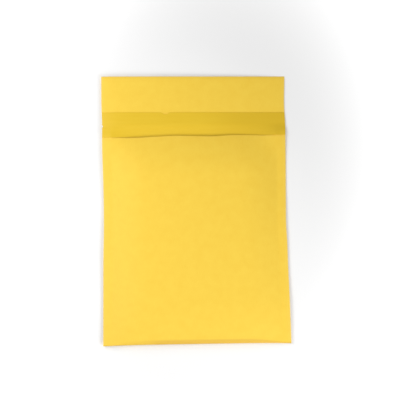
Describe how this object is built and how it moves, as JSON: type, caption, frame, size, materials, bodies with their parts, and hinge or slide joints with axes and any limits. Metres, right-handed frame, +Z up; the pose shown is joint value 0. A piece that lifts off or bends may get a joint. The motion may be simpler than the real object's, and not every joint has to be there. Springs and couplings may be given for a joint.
{
  "type": "padded envelope",
  "caption": "Flat padded mailing envelope in golden kraft: bubble-lined pocket, glued sides, rounded bottom fold and an open flap with a covered adhesive band.",
  "frame": {"origin": "middle of the footprint, on the surface that the envelope lies on", "axes": "+Y from the bottom fold to the flap's free edge, +Z up out of the front face, +X to the right"},
  "size_m": [0.184, 0.267, 0.0088],
  "materials": {
    "kraft_paper": "smooth machine-glazed kraft, matt with a faint sheen",
    "bubble_film": "clear polyethylene bubble film",
    "adhesive": "tacky pale amber hot-melt adhesive",
    "release_paper": "smooth silicone-coated release paper with a low gloss"
  },
  "bodies": {
    "root": {"kraft_envelope": "kraft_paper", "bubble_lining": "bubble_film", "adhesive_strip": "adhesive", "release_liner": "release_paper"}
  },
  "joints": []
}
